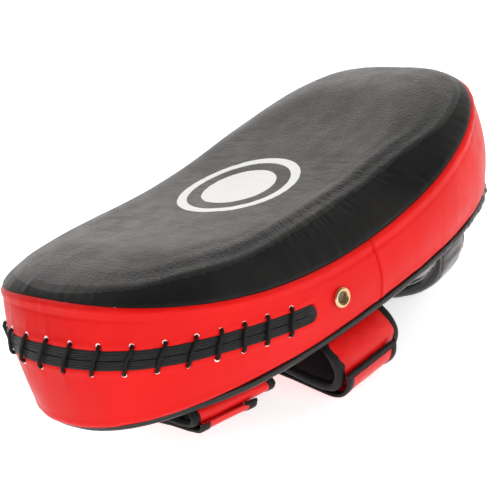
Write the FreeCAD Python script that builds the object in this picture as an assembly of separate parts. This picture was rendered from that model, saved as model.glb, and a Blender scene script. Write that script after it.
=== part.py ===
import FreeCAD, Part
import math
import os

os.makedirs("parts", exist_ok=True)
V = FreeCAD.Vector

# Curved forearm kick pad. Millimetres. X runs along the pad (the laced end is
# -X, the hand grip is at +X), Y across it, +Z out through the striking face.
# Z = 0 is the underside of the hand grip, the lowest point of the pad.

# ---- driving dimensions -------------------------------------------------
FACE_HALF_LENGTH = 200.0     # seam between face and wall
FACE_HALF_WIDTH = 118.0
FACE_SQUARENESS = 3.15       # superellipse exponent of the seam outline
FACE_RISE = 33.0             # padded crown above the seam
SHOULDER_WIDTH = 38.0
SHOULDER_ROUND = 1.3
FACE_DISH = 40.5             # the ends stand this much above the middle
BACK_HALF_LENGTH = 217.5     # outline of the flat back
BACK_HALF_WIDTH = 113.0
BACK_SQUARENESS = 2.3
WALL_HEIGHT = 49.0           # red wall at the middle
WALL_BULGE = 5.0
BACK_EDGE = 6.0              # rolled black edge under the wall
BACK_EDGE_INSET = 4.0
COVER = 1.8                  # sheet thickness of the covers
GRIP_DEPTH = 51.0            # hand grip, below the back
IMPACT_FOAM = 30.0
BACKING_FOAM = 15.0
GUSSET_SEAM_X = -5.0
TARGET_X = -6.0
RING_OUTER = 47.5
RING_INNER = 40.0
DISC_RADIUS = 29.0
PRINT_THICK = 0.35
SLIT_END_X = -76.0           # the lace closure runs round the -X end
SLIT_HALF = 7.0
LACE_RADIUS = 1.6
LACE_HOLE_RADIUS = 2.3
LACE_HOLE_OFFSET = 10.4
# crossings of the lace, measured round the wall from the -X tip, near side positive
LACE_STOPS = (184.5, 164.4, 146.2, 128.0, 108.7, 88.0, 65.8, 41.5, 17.0, -7.3, -31.0, -54.5,
              -78.0, -100.5, -121.5, -142.5, -163.5, -184.5)
LACE_LEAN = 10.0             # each crossing slants this much along the slit
SLIT_RISE = 5.5              # the slit climbs above mid height towards the -X end
VENT_X = -48.0
VENT_RADIUS = 7.5

Z_BACK = GRIP_DEPTH
Z_SEAM = Z_BACK + BACK_EDGE + WALL_HEIGHT
CREST = 52.2


# ---- envelope of the stuffed pad ----------------------------------------
def seam_z(x):
    return Z_SEAM + FACE_DISH * (x / FACE_HALF_LENGTH) ** 2


def superellipse(a, b, n, count, dense=1440):
    """Points at equal spacing along a superellipse, from (a, 0) round."""
    pts = []
    for i in range(dense + 1):
        t = 2 * math.pi * i / dense
        c, s = math.cos(t), math.sin(t)
        pts.append((a * math.copysign(abs(c) ** (2 / n), c), b * math.copysign(abs(s) ** (2 / n), s)))
    run = [0.0]
    for i in range(dense):
        run.append(run[-1] + math.hypot(pts[i + 1][0] - pts[i][0], pts[i + 1][1] - pts[i][1]))
    out, j = [], 0
    for k in range(count):
        want = run[-1] * k / count
        while run[j + 1] < want:
            j += 1
        f = (want - run[j]) / (run[j + 1] - run[j])
        out.append((pts[j][0] + f * (pts[j + 1][0] - pts[j][0]), pts[j][1] + f * (pts[j + 1][1] - pts[j][1])))
    return out


def closed_wire(points):
    curve = Part.BSplineCurve()
    curve.interpolate(Points=[V(*p) for p in points], PeriodicFlag=True)
    return Part.Wire([curve.toShape()])


COUNT = 44


def wall_loop(k, d):
    """Loop at share k of the wall height (0 at the back edge, 1 at the seam), d inside the outside."""
    seam = superellipse(FACE_HALF_LENGTH - d, FACE_HALF_WIDTH - d, FACE_SQUARENESS, COUNT)
    foot = superellipse(BACK_HALF_LENGTH - d, BACK_HALF_WIDTH - d, BACK_SQUARENESS, COUNT)
    out = []
    for (sx, sy), (fx, fy) in zip(seam, foot):
        x, y = fx + k * (sx - fx), fy + k * (sy - fy)
        r = math.hypot(x / FACE_HALF_LENGTH, y / FACE_HALF_WIDTH)
        nx, ny = x / FACE_HALF_LENGTH ** 2 / r, y / FACE_HALF_WIDTH ** 2 / r
        size = math.hypot(nx, ny)
        swell = WALL_BULGE * math.sin(math.pi * k)
        x, y = x + swell * nx / size, y + swell * ny / size
        top = seam_z(sx)
        out.append((x, y, (Z_BACK + BACK_EDGE) + k * (top - Z_BACK - BACK_EDGE)))
    return out


def face_loop(q, d, flat=False):
    a, b = FACE_HALF_LENGTH - d, FACE_HALF_WIDTH - d
    u = min((1 - q) * FACE_HALF_WIDTH / SHOULDER_WIDTH, 1.0)
    rise = FACE_RISE * (1 - (1 - u) ** SHOULDER_ROUND) ** (1 / SHOULDER_ROUND)
    rise += max(0.0, 0.67 - q) * 12.0
    lower = d * min(u * 3, 1.0)
    return [(q * x, q * y, (Z_SEAM if flat else seam_z(q * x)) + rise - lower)
            for x, y in superellipse(a, b, FACE_SQUARENESS, COUNT)]


def region(lower, upper, x0=-260.0, x1=260.0, steps=27):
    """Slab between two curves z(x), running right across the pad."""
    xs = [x0 + (x1 - x0) * i / (steps - 1) for i in range(steps)]
    edges = []
    ends = []
    for f in (lower, upper):
        c = Part.BSplineCurve()
        c.interpolate([V(x, -200, f(x)) for x in xs])
        edges.append(c.toShape())
        ends.append((V(x0, -200, f(x0)), V(x1, -200, f(x1))))
    edges.append(Part.makeLine(ends[0][0], ends[1][0]))
    edges.append(Part.makeLine(ends[0][1], ends[1][1]))
    wire = Part.Wire(Part.__sortEdges__(edges))
    return Part.Face(wire).extrude(V(0, 400, 0))


def flat(z):
    return lambda x: z


def envelope(d):
    loops = []
    for inset, z in ((BACK_EDGE_INSET, Z_BACK + d), (0.9, Z_BACK + 2.6 + d * 0.6)):
        loops.append([(x, y, z) for x, y in superellipse(
            BACK_HALF_LENGTH - d - inset, BACK_HALF_WIDTH - d - inset, BACK_SQUARENESS, COUNT)])
    for k in (0.0, 0.2, 0.4, 0.6, 0.8, 1.0):
        loops.append(wall_loop(k, d))
    for q in (0.985, 0.955, 0.91, 0.86, 0.80, 0.74, 0.68, 0.62, 0.55, 0.48, 0.41, 0.34, 0.27, 0.20, 0.14):
        loops.append(face_loop(q, d))
    loops.append(face_loop(0.08, d, flat=True))
    solid = Part.makeLoft([closed_wire(p) for p in loops], True, False)
    return solid.common(region(flat(-50.0), lambda x: seam_z(x) + FACE_RISE - d))


def save(name, shape):
    shapes = shape if isinstance(shape, list) else [shape]
    solids = []
    for s in shapes:
        solids.extend(s.Solids)
    largest = max(s.Volume for s in solids)
    solids = [s for s in solids if s.Volume > 0.004 * largest]
    out = solids[0] if len(solids) == 1 else Part.makeCompound(solids)
    out.exportStep("parts/%s.step" % name)
    b = out.BoundBox
    print("%-26s %2d solid(s) vol %10.1f valid %s  x %.1f..%.1f y %.1f..%.1f z %.1f..%.1f" % (
        name, len(solids), sum(s.Volume for s in solids), all(s.isValid() for s in solids),
        b.XMin, b.XMax, b.YMin, b.YMax, b.ZMin, b.ZMax), flush=True)
    return out


outer = envelope(0.0)
inner = envelope(COVER)
skin = outer.cut(inner)

back_top = Z_BACK + BACK_EDGE
above_seam = region(seam_z, flat(400.0))
wall_zone = region(flat(back_top), seam_z)
below_wall = Part.makeBox(600, 400, back_top + 50, V(-300, -200, -50))

# ---- striking face, with the printed target ------------------------------
face_panel = skin.common(above_seam)
ring = Part.makeCylinder(RING_OUTER, 300, V(TARGET_X, 0, Z_SEAM)).cut(
    Part.makeCylinder(RING_INNER, 300, V(TARGET_X, 0, Z_SEAM)))
disc = Part.makeCylinder(DISC_RADIUS, 300, V(TARGET_X, 0, Z_SEAM))


def printed(area):
    """A thin layer lying on the face inside area."""
    top = region(lambda x: seam_z(x) + FACE_RISE - 3.0, lambda x: seam_z(x) + FACE_RISE + PRINT_THICK)
    return area.common(top).cut(outer)


save("face_panel", face_panel)
save("target_ring", printed(ring))
save("target_disc", printed(disc))

# ---- side wall, in two halves, with the lace closure round the -X end ----
wall = skin.common(wall_zone)


def slit_z(x):
    t = max(0.0, min(1.0, (-x - 60.0) / 95.0))
    return 0.5 * (seam_z(x) + back_top) + SLIT_RISE * t * t * (3 - 2 * t)


def slit_band(z0, z1, x_end):
    return region(lambda x: slit_z(x) + z0, lambda x: slit_z(x) + z1, -260.0, x_end, 41)


plain_half = wall.common(Part.makeBox(300, 400, 300, V(GUSSET_SEAM_X, -200, 0)))
laced_half = wall.common(Part.makeBox(300, 400, 300, V(GUSSET_SEAM_X - 300, -200, 0)))

lip_zone = slit_band(-SLIT_HALF, SLIT_HALF, SLIT_END_X)
laced_half = laced_half.cut(lip_zone)
lips = envelope(-0.8).cut(inner)
upper_lip = lips.common(slit_band(0.3, SLIT_HALF, SLIT_END_X))
lower_lip = lips.common(slit_band(-SLIT_HALF, -0.3, SLIT_END_X))
channel_depth = 8.2
channel = slit_band(-15.0, 15.0, SLIT_END_X + 14.0)
core_outer = envelope(channel_depth)
underflap = envelope(channel_depth - 1.3).cut(core_outer).common(slit_band(-14.0, 14.0, SLIT_END_X + 8.0))


def wall_point(s, dz, out):
    """A point on the wall: s along the perimeter of the mid-wall loop, dz above the slit, out along the normal."""
    n = len(MID)
    i = int(math.floor(s)) % n
    f = s - math.floor(s)
    a, b = MID[i], MID[(i + 1) % n]
    x, y = a[0] + f * (b[0] - a[0]), a[1] + f * (b[1] - a[1])
    tx, ty = b[0] - a[0], b[1] - a[1]
    t = math.hypot(tx, ty)
    nx, ny = ty / t, -tx / t
    return V(x + nx * out, y + ny * out, slit_z(x) + dz)


def mid_outline():
    """Outline of the wall at half height, as a fine closed polyline."""
    pts = wall_loop(0.5, 0.0)
    c = Part.BSplineCurve()
    c.interpolate(Points=[V(*p) for p in pts], PeriodicFlag=True)
    return [(p.x, p.y) for p in c.discretize(721)[:-1]]


MID = mid_outline()
lengths = [0.0]
for i in range(len(MID)):
    a, b = MID[i], MID[(i + 1) % len(MID)]
    lengths.append(lengths[-1] + math.hypot(b[0] - a[0], b[1] - a[1]))


def index_at(length):
    j = 0
    while lengths[j + 1] < length:
        j += 1
    return j + (length - lengths[j]) / (lengths[j + 1] - lengths[j])


half_run = lengths[-1] / 2          # the -X tip
def rounded_wire(points, radius):
    """Straight runs joined by tangent arcs."""
    edges, last = [], points[0]
    for i in range(1, len(points) - 1):
        p, a, b = points[i], points[i - 1], points[i + 1]
        u, w = (a - p), (b - p)
        lu, lw = u.Length, w.Length
        u, w = u / lu, w / lw
        ang = math.acos(max(-1.0, min(1.0, u.dot(w))))
        if ang > math.pi - 0.02:
            continue
        r = radius
        cut = r / math.tan(ang / 2)
        limit = 0.46 * min(lu, lw)
        if cut > limit:
            cut = limit
            r = cut * math.tan(ang / 2)
        t0, t1 = p + u * cut, p + w * cut
        bis = (u + w)
        bis = bis / bis.Length
        centre = p + bis * (r / math.sin(ang / 2))
        mid = centre - bis * r
        if (t0 - last).Length > 1e-4:
            edges.append(Part.LineSegment(last, t0).toShape())
        edges.append(Part.Arc(t0, mid, t1).toShape())
        last = t1
    edges.append(Part.LineSegment(last, points[-1]).toShape())
    return Part.Wire(edges)


OUT, IN = 3.5, -3.9
route = []
holes = []
for stop in LACE_STOPS:
    lean = LACE_LEAN * max(0.45, min(1.0, (170.0 - stop) / 60.0))
    i, j = index_at(half_run + stop + lean / 2), index_at(half_run + stop - lean / 2)
    top_out, top_in = wall_point(i, LACE_HOLE_OFFSET, OUT), wall_point(i, LACE_HOLE_OFFSET, IN)
    low_out, low_in = wall_point(j, -LACE_HOLE_OFFSET, OUT), wall_point(j, -LACE_HOLE_OFFSET, IN)
    route += [top_in, top_out, low_out, low_in]
    holes += [(top_in, top_out), (low_in, low_out)]
wire = rounded_wire(route, 2.4)
start = route[0]
direction = (route[1] - route[0])
section = Part.Wire([Part.makeCircle(LACE_RADIUS, start, direction)])
lace = wire.makePipeShell([section], True, False)
punched = []
for a, b in holes:
    d = b - a
    d = d / d.Length
    punched.append(Part.makeCylinder(LACE_HOLE_RADIUS, (b - a).Length + 4, a - d * 2, d))
punch = Part.makeCompound(punched)
laced_half = laced_half.cut(punch)

# ---- vent in the near wall ------------------------------------------------
vent_z = 0.5 * (seam_z(VENT_X) + back_top)


def near_wall_y(x, z):
    line = Part.makeLine(V(x, -300, z), V(x, -20, z))
    hit = line.common(outer)
    return min(v.Y for v in hit.Vertexes)


p0 = V(VENT_X, near_wall_y(VENT_X, vent_z), vent_z)
px = V(VENT_X + 4, near_wall_y(VENT_X + 4, vent_z), vent_z) - p0
pz = V(VENT_X, near_wall_y(VENT_X, vent_z + 4), vent_z + 4) - p0
axis = px.cross(pz)
axis = axis / axis.Length
if axis.y > 0:
    axis = axis * -1
vent_axis, vent_point = axis, p0
rim = Part.makeTorus(VENT_RADIUS - 1.5, 1.5, p0 + axis * 0.9, axis)
rim = rim.cut(Part.makeCylinder(20, 10, p0 + axis * 0.35, axis * -1))
barrel = Part.makeCylinder(4.9, 3.4, p0 - axis * 2.6, axis).cut(Part.makeCylinder(4.3, 6, p0 - axis * 4, axis))
flange = Part.makeCylinder(7.3, 0.5, p0 + axis * 0.1, axis).cut(Part.makeCylinder(4.3, 6, p0 - axis * 4, axis))
vent_ring = rim.fuse(flange).fuse(barrel).removeSplitter()
washer = Part.makeCylinder(7.5, 0.6, p0 - axis * 2.6, axis).cut(Part.makeCylinder(4.95, 6, p0 - axis * 4, axis))
mesh = Part.makeCylinder(6.8, 0.5, p0 - axis * 3.2, axis)
vent_seat = [washer.copy(), mesh.copy(), vent_ring.copy()]
cells = []
for i in range(-3, 4):
    for j in range(-3, 4):
        if i * i + j * j <= 6:
            cells.append(Part.makeBox(0.9, 3, 0.9, V(-0.45 + i * 1.4, -1.5, -0.45 + j * 1.4)))
cells = Part.makeCompound(cells)
cells.Placement = FreeCAD.Placement(p0 - axis * 2.95, FreeCAD.Rotation(V(0, -1, 0), axis))
mesh = mesh.cut(cells)
vent_hole = Part.makeCylinder(5.1, 20, p0 - axis * 2.4, axis)
vent_pocket = Part.makeCylinder(8.2, 4.5, p0 - axis * 4.2, axis)
laced_half = laced_half.cut(vent_hole)
for piece in vent_seat:
    laced_half = laced_half.cut(piece)

save("side_gusset_plain", plain_half)
save("side_gusset_laced", laced_half)
save("closure_lip_upper", upper_lip)
save("closure_lip_lower", lower_lip)
save("closure_underflap", underflap)
save("lace", lace)
print("lace length mm", wire.Length)
save("vent_ring", vent_ring)
save("vent_washer", washer)
save("vent_mesh", mesh)

# ---- back panel and its rolled edge --------------------------------------
low_skin = skin.common(below_wall)
inside = Part.Face(closed_wire([(x, y, 0) for x, y in superellipse(
    BACK_HALF_LENGTH - 15, BACK_HALF_WIDTH - 15, BACK_SQUARENESS, COUNT)])).extrude(V(0, 0, 200))
save("back_panel", low_skin.common(inside))
save("back_edge_binding", low_skin.cut(inside))

# ---- foam filling ---------------------------------------------------------
pocket = channel.cut(core_outer)
impact_zone = region(lambda x: seam_z(x) + FACE_RISE - IMPACT_FOAM, flat(400.0))
core_zone = region(flat(Z_BACK + BACKING_FOAM), lambda x: seam_z(x) + FACE_RISE - IMPACT_FOAM)
backing_zone = Part.makeBox(600, 400, Z_BACK + BACKING_FOAM, V(-300, -200, 0))
save("impact_foam", inner.common(impact_zone).cut(pocket).cut(vent_pocket))
save("core_foam", inner.common(core_zone).cut(pocket).cut(vent_pocket))
save("backing_foam", inner.common(backing_zone).cut(pocket))


# ---- straps and grip: profiles across the pad, extruded along it ----------
def smooth(points, count=90):
    c = Part.BSplineCurve()
    c.interpolate([V(0, y, z) for y, z in points])
    return [(p.y, p.z) for p in c.discretize(count)]


def offset_path(path, t):
    out = []
    for i, (y, z) in enumerate(path):
        a, b = path[max(i - 1, 0)], path[min(i + 1, len(path) - 1)]
        ty, tz = b[0] - a[0], b[1] - a[1]
        n = math.hypot(ty, tz)
        out.append((y - tz / n * t, z + ty / n * t))
    return out


def trim(path, skip_start, skip_end):
    """Drop lengths of path from its two ends."""
    run = [0.0]
    for a, b in zip(path, path[1:]):
        run.append(run[-1] + math.hypot(b[0] - a[0], b[1] - a[1]))
    total = run[-1]

    def at(s):
        for i in range(len(path) - 1):
            if run[i + 1] >= s:
                f = (s - run[i]) / (run[i + 1] - run[i])
                return (path[i][0] + f * (path[i + 1][0] - path[i][0]), path[i][1] + f * (path[i + 1][1] - path[i][1]))
        return path[-1]
    s0, s1 = skip_start, total - skip_end
    return [at(s0)] + [p for p, r in zip(path, run) if s0 + 0.4 < r < s1 - 0.4] + [at(s1)]


def at_depth(points):
    return [(y, Z_BACK - d) for y, d in points]


NO_TAPER = (0.0, 1.0, 1.0, 1.0)     # x, width factor, x, width factor
LAYER_GAP = 0.16                    # between the sewn layers of a strap


def ribbon(path, t0, t1, x0, x1, taper=NO_TAPER):
    """A sheet along path, from offset t0 to offset t1, from x0 to x1."""
    wires = []
    for x in (x0, x1):
        f = (x - taper[0]) / (taper[2] - taper[0])
        k = taper[1] + f * (taper[3] - taper[1])
        scaled = [(y * k, z) for y, z in path]
        sides = []
        for t in (t0, t1):
            pts = offset_path(scaled, t)
            step = max(1, len(pts) // 26)
            keep = pts[::step]
            if keep[-1] != pts[-1]:
                keep[-1] = pts[-1]
            c = Part.BSplineCurve()
            c.interpolate([V(x, y, z) for y, z in keep])
            sides.append((c.toShape(), V(x, *keep[0]), V(x, *keep[-1])))
        wires.append(Part.Wire([sides[0][0], Part.makeLine(sides[0][2], sides[1][2]),
                                sides[1][0].reversed(), Part.makeLine(sides[1][1], sides[0][1])]))
    if taper[1] == taper[3]:
        return Part.Face(wires[0]).extrude(V(x1 - x0, 0, 0))
    return Part.makeLoft(wires, True, True)


def bound_edges(path, t0, t1, x0, x1, width, wrap, lip, taper):
    """Folded binding along both long edges of a strap: two leaves and the fold round the edge."""
    pieces = []
    for a, b, c, d in ((x0 - lip, x0 + width, x0 - lip, x0), (x1 - width, x1 + lip, x1, x1 + lip)):
        pieces.append(ribbon(path, t0 - wrap, t0, a, b, taper))
        pieces.append(ribbon(path, t1, t1 + wrap, a, b, taper))
        pieces.append(ribbon(path, t0, t1, c, d, taper))
    return pieces


# Offsets are positive towards the arm (the inside of the loop) for a path run
# from the near root, under the arm, towards the far side.
def forearm_strap(tag, x0, x1, tx0, tx1, band_pts, tongue_pts, hook_skip, foam, bind, taper):
    band = smooth(at_depth(band_pts))
    tongue = smooth(at_depth(tongue_pts))
    shell_t = 1.4
    full = shell_t + foam + 1.0
    g = LAYER_GAP
    body = trim(band, 0.0, 0.0)
    padded = trim(band, 16.0, 3.0)
    save(tag + "_band_shell", ribbon(body, 0.0, shell_t, x0 + 0.2, x1 - 0.2, taper))
    save(tag + "_band_foam", ribbon(padded, shell_t + g, shell_t + foam - g, x0 + 1.2, x1 - 1.2, taper))
    save(tag + "_band_lining", ribbon(padded, shell_t + foam, full, x0 + 0.2, x1 - 0.2, taper))
    save(tag + "_band_binding", bound_edges(trim(band, 17.0, 3.0), -g, full + g, x0 + 0.2 - g, x1 - 0.2 + g, bind, 0.8, 1.0, taper))
    patch = trim(band, 70.0, 8.0)
    save(tag + "_loop_patch", ribbon(patch, -0.9, -g, x0 + bind + 4, x1 - bind - 4, taper))
    save(tag + "_tongue", ribbon(tongue, 0.0, 1.8, tx0, tx1, taper))
    save(tag + "_tongue_binding", bound_edges(trim(tongue, 0.0, 6.0), -g, 1.8 + g, tx0 - g, tx1 + g, 5.0, 0.6, 0.8, taper))
    hook = trim(tongue, hook_skip, 95.0)
    save(tag + "_hook_patch", ribbon(hook, 1.8 + g, 2.6, tx0 + 8, tx1 - 8, taper))
    ny, nz = band[0]
    fy, fz = tongue[-1]
    k = taper[1] if taper[1] != taper[3] else 1.0
    save(tag + "_near_anchor", Part.makeBox(x1 - x0 - 4, 14, 1.6, V(x0 + 2, ny * k + 4.0, Z_BACK - 1.65)))
    save(tag + "_far_anchor", Part.makeBox(tx1 - tx0 - 3, 14, 1.6, V(tx0 + 1.5, fy * k - 18.0, Z_BACK - 1.65)))
    return band, tongue


WRIST_X = (-62.0, 6.0)
WRIST_TONGUE_X = (-58.8, -4.5)
ELBOW_X = (-166.0, -105.2)
ELBOW_TONGUE_X = (-163.0, -124.0)
forearm_strap("wrist", WRIST_X[0], WRIST_X[1], WRIST_TONGUE_X[0], WRIST_TONGUE_X[1],
              [(-97, 1.2), (-104, 6), (-110.5, 14), (-112.5, 24), (-109, 34), (-101, 40.5), (-90, 41), (-60, 33.5), (-20, 26), (15, 22), (40, 19)],
              [(-116.2, 27.0), (-115.6, 31.5), (-113.8, 36.4), (-110.6, 40.8), (-105.5, 44.6), (-98.5, 46.4), (-90, 45.6), (-60, 38.2), (-20, 30.4), (15, 26.4), (45, 22.5), (68, 17.5), (82, 9.5), (88, 1.2)],
              33.0, 5.0, 6.5, NO_TAPER)
forearm_strap("elbow", ELBOW_X[0], ELBOW_X[1], ELBOW_TONGUE_X[0], ELBOW_TONGUE_X[1],
              [(-81, 1.2), (-87.6, 1.6), (-93.4, 4.5), (-95.6, 8.4), (-93.4, 12.3), (-87.2, 15.0), (-78, 15.3), (-66, 14.9), (-30, 13.4), (10, 12.6), (36, 12.3)],
              [(-99.2, 12.4), (-97.6, 16.2), (-91.5, 19.3), (-82, 19.9), (-66, 19.4), (-30, 17.9), (10, 17.0), (38, 16.4), (60, 13.2), (76, 7.6), (83, 1.2)],
              26.0, 1.6, 5.5, (ELBOW_X[0], 0.74, ELBOW_X[1], 0.985))

# ---- hand grip: a padded band arching right across the back ---------------
GRIP_X = (79.0, 127.0)
arch = []
for i in range(0, 25):
    a = math.pi * i / 24
    y = -101.0 * math.copysign(abs(math.cos(a)) ** 0.85, math.cos(a))
    d = 1.0 + (GRIP_DEPTH - 1.0 - 0.0) * abs(math.sin(a)) ** 0.9
    arch.append((y, d))
arch = smooth(at_depth(arch), 120)
cover_t = 1.5
pad_t = 7.0
core = trim(arch, 1.0, 1.0)
total = 2 * cover_t + pad_t + 1.6
taper = (GRIP_X[0], 1.0, GRIP_X[1], 0.885)
in0, in1 = GRIP_X[0] + cover_t, GRIP_X[1] - cover_t
hollow = ribbon(core, cover_t, total - cover_t, in0, in1, taper)
save("grip_cover", ribbon(core, 0.0, total, GRIP_X[0], GRIP_X[1], taper).cut(hollow))
save("grip_webbing", ribbon(core, cover_t, cover_t + 1.6, in0, in1, taper))
save("grip_foam", ribbon(core, cover_t + 1.6, cover_t + 1.6 + pad_t, in0, in1, taper))
for tag, side in (("near", -1), ("far", 1)):
    y = side * 76.0
    save("grip_anchor_" + tag, Part.makeBox(44, 16, 1.6, V(81, y - 8.0, Z_BACK - 1.65)))
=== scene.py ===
import math

import bpy
import numpy as np
from mathutils import Matrix, Vector


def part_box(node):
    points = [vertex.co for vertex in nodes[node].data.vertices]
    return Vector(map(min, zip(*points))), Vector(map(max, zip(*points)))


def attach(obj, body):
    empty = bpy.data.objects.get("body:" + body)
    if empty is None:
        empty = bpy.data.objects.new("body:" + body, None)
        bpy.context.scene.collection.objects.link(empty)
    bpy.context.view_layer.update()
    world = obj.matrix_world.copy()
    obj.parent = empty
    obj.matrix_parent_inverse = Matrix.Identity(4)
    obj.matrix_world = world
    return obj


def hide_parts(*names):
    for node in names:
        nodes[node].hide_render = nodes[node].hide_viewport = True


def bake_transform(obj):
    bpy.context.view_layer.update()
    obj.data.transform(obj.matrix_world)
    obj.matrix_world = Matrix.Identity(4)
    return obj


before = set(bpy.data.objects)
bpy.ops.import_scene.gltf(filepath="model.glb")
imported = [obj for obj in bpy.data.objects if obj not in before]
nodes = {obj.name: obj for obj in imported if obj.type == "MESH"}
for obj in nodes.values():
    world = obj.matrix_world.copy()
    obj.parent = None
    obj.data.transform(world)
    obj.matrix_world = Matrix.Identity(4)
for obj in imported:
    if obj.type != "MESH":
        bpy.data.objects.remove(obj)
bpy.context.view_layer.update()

MM = 0.001
scene = bpy.context.scene
scene.view_settings.view_transform = "Standard"
scene.view_settings.look = "None"
scene.view_settings.exposure = 0.0
scene.view_settings.gamma = 1.0

# ------------------------------------------------------------------ sizes, mm
A, B, NF = 200.0, 118.0, 3.15          # seam outline
AF, BF, NB = 217.5, 113.0, 2.3         # back outline
RISE, SHOULDER, ROUND = 33.0, 38.0, 1.3
DISH, ZB, EDGE, INSET = 40.5, 51.0, 6.0, 4.0
ZS = ZB + EDGE + 49.0
BULGE = 5.0
SEAM_X = -5.0
WRIST_X, ELBOW_X, GRIP_X = (-62.0, 6.0), (-166.0, -105.2), (79.0, 127.0)
WRIST_TONGUE_X, ELBOW_TONGUE_X = (-58.8, -4.5), (-163.0, -124.0)
VENT_X = -48.0
HOLE = 9.7
STOPS = (184.5, 164.4, 146.2, 128.0, 108.7, 88.0, 65.8, 41.5, 17.0, -7.3, -31.0, -54.5,
         -78.0, -100.5, -121.5, -142.5, -163.5, -184.5)
LEAN = 10.0


# ---------------------------------------------------------------------- noise
def _hash(ix, iy, iz, seed):
    h = (ix.astype(np.int64) * 374761393 + iy.astype(np.int64) * 668265263 + iz.astype(np.int64) * 2147483647 + seed * 974711) & 0xFFFFFFFF
    h = ((h ^ (h >> 13)) * 1274126177) & 0xFFFFFFFF
    h = (h ^ (h >> 16)) & 0xFFFF
    return h / 65535.0 * 2 - 1


def noise(x, y, z, seed=1):
    """Smooth value noise in -1..1 on arrays."""
    x, y, z = np.broadcast_arrays(x, y, z)
    ix, iy, iz = np.floor(x), np.floor(y), np.floor(z)
    fx, fy, fz = x - ix, y - iy, z - iz
    fx, fy, fz = (f * f * f * (f * (f * 6 - 15) + 10) for f in (fx, fy, fz))
    out = 0
    for a in (0, 1):
        for b in (0, 1):
            for c in (0, 1):
                w = (fx if a else 1 - fx) * (fy if b else 1 - fy) * (fz if c else 1 - fz)
                out = out + w * _hash(ix + a, iy + b, iz + c, seed)
    return out


def sstep(a, b, x):
    t = np.clip((x - a) / (b - a), 0, 1)
    return t * t * (3 - 2 * t)


def bell(x, c, w):
    return np.exp(-((x - c) / w) ** 2)


# ------------------------------------------------------------------- envelope
TABLE = 6000


def _outline(a, b, n):
    t = np.linspace(0, 2 * np.pi, 20001)
    c, s = np.cos(t), np.sin(t)
    p = np.stack([a * np.sign(c) * np.abs(c) ** (2 / n), b * np.sign(s) * np.abs(s) ** (2 / n)], -1)
    run = np.r_[0, np.cumsum(np.hypot(*np.diff(p, axis=0).T))]
    w = run[-1] * np.linspace(0, 1, TABLE + 1)
    return np.stack([np.interp(w, run, p[:, 0]), np.interp(w, run, p[:, 1])], -1), run[-1]


SEAM_TAB, SEAM_LEN = _outline(A, B, NF)
FOOT_TAB, FOOT_LEN = _outline(AF, BF, NB)


def look(tab, share):
    s = np.mod(share, 1.0) * TABLE
    g = np.arange(TABLE + 1)
    return np.interp(s, g, tab[:, 0]), np.interp(s, g, tab[:, 1])


def seam_z(x):
    return ZS + DISH * (x / A) ** 2


def slit_z(x):
    t = np.clip((-x - 60.0) / 95.0, 0, 1)
    return 0.5 * (seam_z(x) + ZB + EDGE) + 5.5 * t * t * (3 - 2 * t)


def wall(share, k, out=0.0):
    """Points on the wall: share round the outline, k from 0 (foot) to 1 (seam), out along the level normal."""
    sx, sy = look(SEAM_TAB, share)
    fx, fy = look(FOOT_TAB, share)
    x, y = fx + k * (sx - fx), fy + k * (sy - fy)
    nx, ny = x / A ** 2, y / B ** 2
    n = np.hypot(nx, ny)
    nx, ny = nx / n, ny / n
    swell = BULGE * np.sin(np.pi * np.clip(k, 0, 1)) + out
    z = (ZB + EDGE) + k * (seam_z(sx) - ZB - EDGE)
    return x + nx * swell, y + ny * swell, z, nx, ny


# arc length round the wall at mid height, to place the slit and the lace
_sh = np.linspace(0, 1, TABLE + 1)
_mx, _my, _, _, _ = wall(_sh, 0.5)
_arc = np.r_[0, np.cumsum(np.hypot(np.diff(_mx), np.diff(_my)))]
ARC = _arc[-1]


def share_at(s):
    """Share of the outline at arc length s from the -X tip, near side positive."""
    return np.interp(np.asarray(s) + ARC / 2, _arc, _sh)


def arc_of(share):
    return np.interp(np.mod(share, 1.0), _sh, _arc) - ARC / 2


def wall_at(s, h, out):
    """Point at arc length s, h above the slit line, out along the normal."""
    share = share_at(s)
    mx, _, _, _, _ = wall(share, 0.5)
    sx, _ = look(SEAM_TAB, share)
    lowz, topz = ZB + EDGE, seam_z(sx)
    k = (slit_z(mx) + h - lowz) / (topz - lowz)
    x, y, z, nx, ny = wall(share, k, out)
    return np.stack([x, y, z], -1), np.stack([nx, ny, 0 * nx], -1)


# slit end: where the mid outline reaches x = -76 on the near side
_near = np.where((_my < 0) & (_mx > -76.0) & (_arc > ARC / 2))[0][0]
SLIT_S = _arc[_near] - ARC / 2


# --------------------------------------------------------------------- meshes
def mesh_object(name, verts, faces, mats, mat_ids=None, smooth=True, sharp=None):
    me = bpy.data.meshes.new(name)
    me.from_pydata([tuple(v) for v in (np.asarray(verts) * MM)], [], [tuple(int(i) for i in f) for f in faces])
    for m in (mats if isinstance(mats, (list, tuple)) else [mats]):
        me.materials.append(m)
    if mat_ids is not None:
        me.polygons.foreach_set("material_index", np.asarray(mat_ids, np.int32))
    me.validate()
    me.update()
    if smooth:
        me.polygons.foreach_set("use_smooth", np.ones(len(me.polygons), bool))
    ob = bpy.data.objects.new(name, me)
    scene.collection.objects.link(ob)
    return ob


def grid_faces(nu, nv, wrap_u=False, wrap_v=False, flip=False, base=0):
    """Quads of an nu by nv grid of vertices, index = i * nv + j."""
    iu = np.arange(nu if wrap_u else nu - 1)
    jv = np.arange(nv if wrap_v else nv - 1)
    i, j = np.meshgrid(iu, jv, indexing="ij")
    i2, j2 = (i + 1) % nu, (j + 1) % nv
    q = np.stack([i * nv + j, i2 * nv + j, i2 * nv + j2, i * nv + j2], -1).reshape(-1, 4) + base
    return q[:, ::-1] if flip else q


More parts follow.
